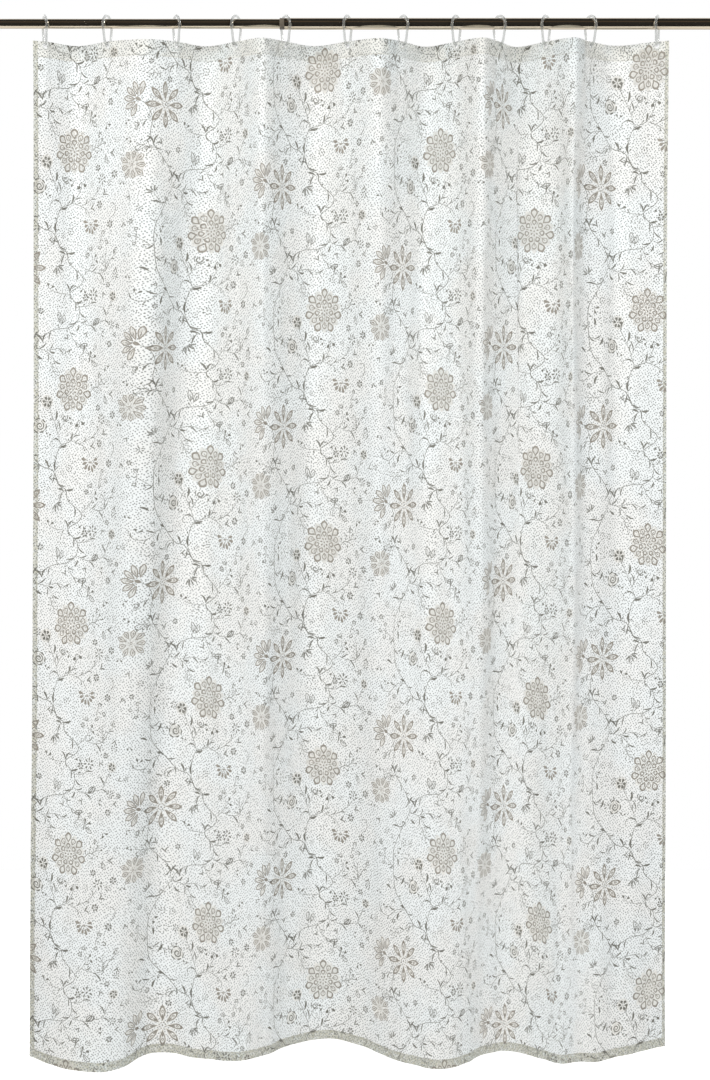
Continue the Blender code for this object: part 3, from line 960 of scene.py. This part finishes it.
def print_material(name, colours, through=INK_THROUGH):
    """Ink soaked into the weave, a little uneven."""
    look = Looks(name)
    flat = look.flat_place()
    return woven(look, flat, look.mottled(flat, 90.0, 0.3, 0.7, *colours), through, Specular_IOR_Level=0.2)


def rod_material():
    """Dark polished bronze finish, with the faint haze of handling."""
    look = Looks("polished_bronze")
    haze = look.noise(look.object_place(), 14.0)
    look.set(Base_Color=look.mix(look.ramp(haze, 0.3, 0.7), (0.46, 0.40, 0.31), (0.50, 0.44, 0.35)),
             Roughness=look.ramp(haze, 0.2, 0.8, 0.10, 0.13), Metallic=0.965)
    return look.material


def plastic_material(name, colour, other, roughness):
    """Moulded plastic or rubber with a fine grain."""
    look = Looks(name)
    where = look.object_place()
    look.set(Base_Color=look.mottled(where, 60.0, 0.3, 0.7, colour, other), Roughness=roughness)
    look.bump(look.noise(where, 900.0), 0.15)
    return look.material


def clear_material(name, colour, through):
    """Clear plastic, a little milky."""
    look = Looks(name)
    other = tuple(part * 0.97 for part in colour)
    look.set(Base_Color=look.mottled(look.object_place(), 120.0, 0.35, 0.65, colour, other),
             Roughness=0.05, IOR=1.49, Transmission_Weight=through)
    return look.material


# ---------------------------------------------------------------- the rod

CLEARANCE = 0.0003  # between pieces that touch


def build_rod():
    bronze = rod_material()
    brown = plastic_material("brown_plastic_look", (0.105, 0.09, 0.07), (0.13, 0.11, 0.085), 0.38)
    rubber = plastic_material("dark_rubber_look", (0.028, 0.026, 0.024), (0.040, 0.037, 0.034), 0.75)
    for node, body in (("inner_tube", "inner_rod"), ("outer_tube", "outer_rod")):
        low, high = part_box(node)
        radius, lip = high.y, 0.0005
        bore = radius - TUBE_WALL
        outline = [(low.x, radius - lip), (low.x + lip, radius), (high.x - lip, radius),
                   (high.x, radius - lip), (high.x, bore), (low.x, bore)]
        piece(node + "_finish", turned(outline, ROD_SIDES), bronze, body, (node,))
    build_collar(brown)
    for node, tube, body, side in (("wall_pad_left", "inner_tube", "inner_rod", 1),
                                   ("wall_pad_right", "outer_tube", "outer_rod", -1)):
        piece(node + "_rubber", pad_shape(node, tube, side), rubber, body, (node,))
    for name in ("end_plug_left", "end_plug_right", "lock_core", "lock_sleeve"):
        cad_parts[name].data.materials[0] = brown


def build_collar(stuff):
    """The moulded lip at the thick tube's end, with its two grooves, and the insert inside the tube."""
    low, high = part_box("tube_collar")
    radius = high.y
    lip_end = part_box("outer_tube")[0].x - CLEARANCE
    insert = radius - TUBE_WALL - CLEARANCE
    bore = box_radius("inner_tube") + CLEARANCE
    outline = [(low.x, bore + 0.0004), (low.x, radius - 0.0009), (low.x + 0.0004, radius - 0.0003),
               (low.x + 0.0012, radius)]
    for groove in (0.42, 0.70):
        at = low.x + (lip_end - low.x) * groove
        outline += [(at - 0.0005, radius), (at - 0.0002, radius - 0.0004), (at + 0.0002, radius - 0.0004),
                    (at + 0.0005, radius)]
    outline += [(lip_end - 0.0003, radius), (lip_end, radius - 0.0003), (lip_end, insert), (high.x, insert),
                (high.x, bore), (low.x + 0.0004, bore)]
    shape = turned(outline, ROD_SIDES)
    piece("collar_moulding", shape, stuff, "outer_rod", ("tube_collar",))


def pad_shape(node, tube, side):
    """A ribbed rubber cup, with rings on the face that grips the wall. Side is the way it opens along X."""
    low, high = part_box(node)
    wide = high.y
    long = high.x - low.x
    bore = box_radius(tube) + CLEARANCE
    outline = [(0.0012, 0)]
    for ring in (0.25, 0.45, 0.65, 0.85):
        at = wide * ring
        outline += [(0.0012, at - 0.0009), (0, at - 0.0004), (0, at + 0.0004), (0.0012, at + 0.0009)]
    outline += [(0.0003, wide - 0.0006), (0.0012, wide), (0.0036, wide), (0.0044, wide - 0.0005)]
    for at in (0.0052, 0.0078, 0.0104):
        outline += [(at, wide - 0.0018), (at + 0.0006, wide - 0.0012), (at + 0.0013, wide - 0.0012),
                    (at + 0.0019, wide - 0.0018)]
    outline += [(long - 0.0006, wide - 0.0024), (long, wide - 0.0030), (long, bore), (0.003, bore),
                (0.003, 0)]
    wall = low.x if side > 0 else high.x
    return turned([(wall + side * x, radius) for x, radius in outline], ROD_SIDES)


# ---------------------------------------------------------------- rings and eyelets

PIN_R = (0.0017, 0.0019)  # the strand thins to this at the back, where the arm turns
CATCH_R = 0.0029
CATCH_GAP = 0.00015


def arc(centre_z, radius, start, end, steps):
    turns = np.linspace(start, end, steps + 1)
    return [(radius * math.cos(a), centre_z + radius * math.sin(a)) for a in turns]


def ring_shapes():
    """The U and the arm of one ring in its own plane. Each ends in a catch in front and thins at the back."""
    side = math.asin((RING_TOP_R - RING_BOTTOM_R) / (RING_TOP_Z - RING_BOTTOM_Z))
    top, bottom = (RING_TOP_Z, RING_TOP_R), (RING_BOTTOM_Z, RING_BOTTOM_R)
    front = -RING_TOP_R
    loop_path = [(RING_TOP_R, RING_TOP_Z - CATCH_GAP), (RING_TOP_R, RING_TOP_Z - 0.0012)]
    loop_path += arc(*top, -0.12, -side, 4)
    loop_path += arc(*bottom, -side, side - math.pi, 36)
    loop_path += arc(*top, side - math.pi, 0.20 - math.pi, 3)
    loop_path += [(front, RING_TOP_Z - below) for below in (0.0030, 0.0026, 0.0012, CATCH_GAP)]
    loop_radii = [*PIN_R, *[STRAND_R] * (len(loop_path) - 5), CATCH_R, CATCH_R, CATCH_R - 0.0002]
    arm_path = [(RING_TOP_R, RING_TOP_Z + CATCH_GAP), (RING_TOP_R, RING_TOP_Z + 0.0012)]
    arm_path += arc(*top, 0.12, math.pi - 0.16, 40)
    arm_path += [(front, RING_TOP_Z + above) for above in (0.0022, 0.0012, CATCH_GAP)]
    arm_radii = [*PIN_R, *[STRAND_R] * (len(arm_path) - 5), 0.0028, 0.0028, 0.0026]
    return swept(loop_path, loop_radii), swept(arm_path, arm_radii)


def eyelet_shape():
    """A flanged bush with rounded rims, about X through the cloth."""
    front, back, rim = -0.0006, 0.0018, 0.0007
    outline = []
    for face, way in ((front, -1), (back, 1)):
        side = [(face, EYELET_FLANGE_R), (face + way * rim * 0.6, EYELET_FLANGE_R - 0.0001),
                (face + way * rim, EYELET_FLANGE_R - 0.0006),
                (face + way * rim * 0.9, EYELET_BORE_R + 0.0006), (face + way * rim * 0.4, EYELET_BORE_R)]
        outline += side[::way]
        if way < 0:
            outline += [(front, EYELET_BARREL_R), (back, EYELET_BARREL_R)]
    return turned(outline, 40)


def placed_copy(mesh, at, turn):
    """The same shape turned about Z and moved."""
    own = mesh.copy()
    own.transform(Matrix.Translation(at) @ Matrix.Rotation(turn, 4, "Z"))
    return own


def build_rings():
    clear = clear_material("clear_strand", (0.72, 0.73, 0.72), 0.9)
    bush = plastic_material("eyelet_look", (0.74, 0.75, 0.72), (0.70, 0.71, 0.68), 0.45)
    loop_mesh, arm_mesh = ring_shapes()
    eyelet_mesh = eyelet_shape()
    for n, (x, hole) in enumerate(zip(RING_XS, HOLES), 1):
        turn = cloth_turn(hole, HOLE_BELOW_EDGE)
        for mesh, node in ((loop_mesh, f"ring_{n:02d}"), (arm_mesh, f"ring_arm_{n:02d}")):
            own = placed_copy(mesh, (x, 0, 0), RING_TURN_SHARE * turn)
            piece(node + "_strand", own, clear, node, (node,))
        node = f"eyelet_{n:02d}"
        own = placed_copy(eyelet_mesh, hang(hole, HOLE_BELOW_EDGE), turn + math.pi / 2)
        piece(node + "_bush", own, bush, f"ring_{n:02d}", (node,))


# ---------------------------------------------------------------- the cloth

COLUMN = 0.004
ROW = 0.008
HEM_ROW = 0.003
SIDE_HEM_COLUMN = 0.002
HEM_BEHIND = 0.0010
FOLD_LENGTH = 0.0012
SEAM_FROM_HEM_END = 0.002
SEAM_DEPTH = 0.0004
SEAM_PULL = 0.002  # how far to either side a seam pulls the hem in
PRINT_LIFT = 0.00025
TINT_LIFT = 0.00012
STITCH_PITCH = 0.0038
STITCH_LENGTH = 0.0027
STITCH_WIDTH = 0.0007
STITCH_LIFT = 0.00030
STITCH_CROWN = 0.00035
SEAM_END_GAP = 0.002


def spaced(start, end, size):
    return np.linspace(start, end, max(2, int(round((end - start) / size)) + 1))


COLUMNS = spaced(0, CURTAIN_WIDTH, COLUMN)
BODY_ROWS = spaced(HEADER_HEM, CURTAIN_DROP - BOTTOM_HEM, ROW)


def grid(us, vs):
    """Flat positions and faces of a grid, facing the room."""
    flat = np.stack(np.meshgrid(us, vs), axis=-1).reshape(-1, 2)
    wide = len(us)
    rows, columns = np.meshgrid(np.arange(len(vs) - 1), np.arange(wide - 1), indexing="ij")
    first = (rows * wide + columns).ravel()
    return flat, np.stack([first, first + wide, first + wide + 1, first + 1], axis=1)


def used_only(flat, faces):
    """Leaves out the points that no face has."""
    used = np.unique(faces)
    renumbered = np.full(len(flat), -1)
    renumbered[used] = np.arange(len(used))
    return flat[used], renumbered[faces]


def with_holes(flat, faces):
    """Opens a round hole for each eyelet's barrel."""
    radius = EYELET_BARREL_R + 0.0001
    for hole in HOLES:
        away = flat - (hole, HOLE_BELOW_EDGE)
        distance = np.hypot(*away.T)
        near = distance < radius
        faces = faces[~near[faces].all(axis=1)]
        flat[near] = (hole, HOLE_BELOW_EDGE) + away[near] / np.maximum(distance[near], 1e-6)[:, None] * radius
    return used_only(flat, faces)


def cloth_piece(name, flat, faces, offset, stuff, replaced=()):
    """A sheet of cloth hung from its flat shape."""
    points = hang(flat[:, 0], flat[:, 1], offset)
    corners = [list(dict.fromkeys(face)) for face in faces.tolist()]
    made = piece(name, cloth_mesh(points, corners, flat), stuff, "curtain", replaced)
    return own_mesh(made)


def build_panel(stuff):
    rows = np.concatenate([spaced(0, HEADER_HEM, HEM_ROW)[:-1], BODY_ROWS[:-1],
                           spaced(CURTAIN_DROP - BOTTOM_HEM, CURTAIN_DROP, HEM_ROW)])
    flat, faces = with_holes(*grid(COLUMNS, rows))
    return cloth_piece("curtain_cloth", flat, faces, 0.0, stuff, ("curtain_panel",))


def hem_depth(into, width):
    """How far behind the cloth a folded hem lies: it turns at the edge and is pulled in at its seam."""
    turn = np.sqrt(np.clip(into / FOLD_LENGTH, 0, 1))
    pulled = np.exp(-(((into - width + SEAM_FROM_HEM_END) / SEAM_PULL) ** 2))
    return turn * (HEM_BEHIND - (HEM_BEHIND - SEAM_DEPTH) * pulled)


def build_hems(stuff):
    """The four hems, each folded to the back from its edge."""
    made = []
    for name, node, edge, width in (
        ("header_hem_cloth", "header_hem", 0, HEADER_HEM),
        ("bottom_hem_cloth", "bottom_hem", CURTAIN_DROP, BOTTOM_HEM),
        ("left_hem_cloth", "side_hem_left", 0, SIDE_HEM_LEFT),
        ("right_hem_cloth", "side_hem_right", CURTAIN_WIDTH, SIDE_HEM_RIGHT),
    ):
        at_side = node.startswith("side")
        size = SIDE_HEM_COLUMN if at_side else HEM_ROW
        into = np.concatenate([[0, FOLD_LENGTH * 0.25], spaced(FOLD_LENGTH, width, size)])
        lines = edge - into[::-1] if edge else into
        flat, faces = grid(lines, BODY_ROWS) if at_side else grid(COLUMNS, lines)
        if node == "header_hem":
            flat, faces = with_holes(flat, faces)
        depth = hem_depth(abs(edge - flat[:, 0 if at_side else 1]), width)
        made.append(cloth_piece(name, flat, faces, depth, stuff, (node,)))
    return made


def seam_lines():
    """The seams as flat start and end points."""
    high, low = HEADER_HEM, CURTAIN_DROP - BOTTOM_HEM
    for down in (high - SEAM_FROM_HEM_END, low + SEAM_FROM_HEM_END):
        yield np.array([SEAM_END_GAP, down]), np.array([CURTAIN_WIDTH - SEAM_END_GAP, down])
    for across in (SIDE_HEM_LEFT - SEAM_FROM_HEM_END, CURTAIN_WIDTH - SIDE_HEM_RIGHT + SEAM_FROM_HEM_END):
        yield np.array([across, high]), np.array([across, low])


def build_stitches():
    """The thread of every seam, as one short raised stitch after another, on both faces of the cloth."""
    thread = print_material("seam_thread", THREAD_COLOURS)
    along = np.linspace(-0.5, 0.5, 5) * STITCH_LENGTH
    across = np.array([-0.5, 0, 0.5]) * STITCH_WIDTH
    crown = STITCH_CROWN * np.outer(np.cos(np.linspace(-1.4, 1.4, 5)), [0, 1, 0]).ravel()
    quads = grid(across, along)[1]
    made = []
    for face, way, base in (("front", -1, STITCH_LIFT), ("back", 1, SEAM_DEPTH + STITCH_LIFT)):
        flats, faces = [], []
        for start, end in seam_lines():
            length = np.linalg.norm(end - start)
            run = (end - start) / length
            side = np.array([-run[1], run[0]])
            shape = (along[:, None, None] * run + across[None, :, None] * side).reshape(-1, 2)
            for at in np.arange(STITCH_PITCH / 2, length, STITCH_PITCH):
                faces.append(quads + len(shape) * len(flats))
                flats.append(start + run * at + shape)
        depth = np.tile(way * (base + crown), len(flats))
        flat, faces = np.concatenate(flats), np.concatenate(faces)
        made.append(cloth_piece(f"seam_stitches_{face}", flat, faces, depth, thread))
    return made


def on_cloth(flat, faces):
    """The faces that lie on the cloth and not over an eyelet."""
    middle = flat[faces].mean(axis=1)
    kept = ((middle > 0) & (middle < (CURTAIN_WIDTH, CURTAIN_DROP))).all(axis=1)
    for hole in HOLES:
        kept &= np.hypot(middle[:, 0] - hole, middle[:, 1] - HOLE_BELOW_EDGE) > EYELET_FLANGE_R + 0.001
    return faces[kept]


def all_over(shape):
    """One drawn cell repeated over the flat cloth, in metres, cut off at its edges."""
    cell = np.array(shape.points) + FIRST_FLOWER
    quads = np.array([face if len(face) == 4 else (*face, face[2]) for face in shape.faces])
    flats, faces = [], []
    for across in range(-1, 6):
        for down in range(-4, 5):
            at = (cell + cell_step(across, down)) / 1000
            flat = np.stack([at.real, at.imag], axis=1)
            faces.append(on_cloth(flat, quads) + len(flat) * len(flats))
            flats.append(flat)
    flat, faces = used_only(np.concatenate(flats), np.concatenate(faces))
    return np.clip(flat, 0, (CURTAIN_WIDTH, CURTAIN_DROP)), faces


def build_print():
    """The pattern over the whole cloth, a hair in front of it."""
    fine, flowers, tints = drawn_cell()
    made = []
    for shape, name, lift, colours, through in (
        (fine, "vine_print", PRINT_LIFT, VINE_INK, INK_THROUGH),
        (flowers, "flower_print", PRINT_LIFT, FLOWER_INK, INK_THROUGH),
        (tints, "flower_ground_print", TINT_LIFT, FLOWER_GROUND, FLOWER_GROUND_THROUGH),
    ):
        stuff = print_material(name + "_look", colours, through)
        made.append(cloth_piece(name, *all_over(shape), -lift, stuff))
    return made


# ---------------------------------------------------------------- the studio

CAMERA_BACK = 3.5
CAMERA_BELOW_EDGE = 0.50
CAMERA_RIGHT = 0.0115
CAMERA_DOWN = math.radians(7.3)
CAMERA_LENS = 60.2
FLOOR_Z = -2.16
FLOOR_GLOW = 0.6
FLOOR_FRONT_Y = -1.2  # a floor nearer than this would show as a pale band along the rod's underside
BACKDROP_Y = 1.6
WORLD_LIGHT = 0.47


def stage_plane(name, size, location, tilt, look):
    mesh = bpy.data.meshes.new(name)
    mesh.from_pydata([(-0.5, -0.5, 0), (0.5, -0.5, 0), (0.5, 0.5, 0), (-0.5, 0.5, 0)], [], [(0, 1, 2, 3)])
    mesh.materials.append(look)
    plane = added(name, mesh)
    plane.scale = (*size, 1)
    plane.location = location
    plane.rotation_euler = (tilt, 0, 0)
    return plane


def area_light(name, location, target, size, watts, colour):
    light = bpy.data.lights.new(name, "AREA")
    light.shape = "RECTANGLE"
    light.size, light.size_y = size
    light.energy = watts
    light.color = colour
    lamp = added(name, light)
    lamp.location = location
    lamp.rotation_euler = (Vector(target) - Vector(location)).to_track_quat("-Z", "Y").to_euler()
    return lamp


def glowing(name, colour, strength, base=0.0):
    look = Looks(name)
    look.set(Base_Color=(base, base, base), Roughness=1.0, Specular_IOR_Level=0.0, Emission_Color=colour,
             Emission_Strength=strength)
    return look.material


def build_world():
    """White where the camera sees it, and a softer light on the curtain."""
    world = bpy.data.worlds.new("studio")
    bpy.context.scene.world = world
    world.use_nodes = True
    nodes, links = world.node_tree.nodes, world.node_tree.links
    nodes["Background"].inputs["Color"].default_value = (1, 1, 1, 1)
    seen = nodes.new("ShaderNodeLightPath")
    strength = nodes.new("ShaderNodeMapRange")
    strength.inputs["To Min"].default_value = WORLD_LIGHT
    links.new(seen.outputs["Is Camera Ray"], strength.inputs["Value"])
    links.new(strength.outputs["Result"], nodes["Background"].inputs["Strength"])
    world.cycles_visibility.glossy = False


def build_studio():
    scene = bpy.context.scene
    scene.view_settings.view_transform = "Standard"
    build_world()
    size, at = (12, BACKDROP_Y - FLOOR_FRONT_Y), (MIDDLE_X, (BACKDROP_Y + FLOOR_FRONT_Y) / 2, FLOOR_Z)
    floor = stage_plane("studio_floor", size, at, 0, glowing("floor", (1.0, 1.0, 0.985), FLOOR_GLOW, 0.8))
    floor.visible_diffuse = False
    size, at = (9, 6), (MIDDLE_X, BACKDROP_Y, FLOOR_Z + 3)
    backdrop = stage_plane("studio_backdrop", size, at, math.pi / 2, glowing("backdrop", (1, 1, 1), 1.0))
    backdrop.visible_camera = False
    middle = (MIDDLE_X, 0, -0.6)
    key = area_light("key", (-0.9, -2.9, 1.75), middle, (1.6, 1.6), 121, (1.0, 0.995, 0.985))
    fill = area_light("fill", (3.0, -2.8, 0.7), middle, (2.0, 2.0), 56, (0.97, 0.99, 1.0))
    for lamp in (key, fill):
        lamp.visible_glossy = False
    strip = area_light("strip", (MIDDLE_X, -1.2, 0.9), (MIDDLE_X, 0, 0), (5.0, 0.35), 0.7, (1.0, 0.66, 0.36))
    strip.visible_diffuse = False
    camera = bpy.data.cameras.new("camera")
    camera.lens = CAMERA_LENS
    camera.sensor_width = 36
    eye = added("camera", camera)
    eye.location = (MIDDLE_X + CAMERA_RIGHT, -CAMERA_BACK, TOP_EDGE_Z - CAMERA_BELOW_EDGE)
    eye.rotation_euler = (math.pi / 2 - CAMERA_DOWN, 0, 0)
    scene.camera = eye


build_studio()
build_rod()
build_rings()
panel = build_panel(cloth_material("printed_cloth_look"))
sewn_on = build_hems(cloth_material("hem_cloth_look", double=True)) + build_stitches() + build_print()
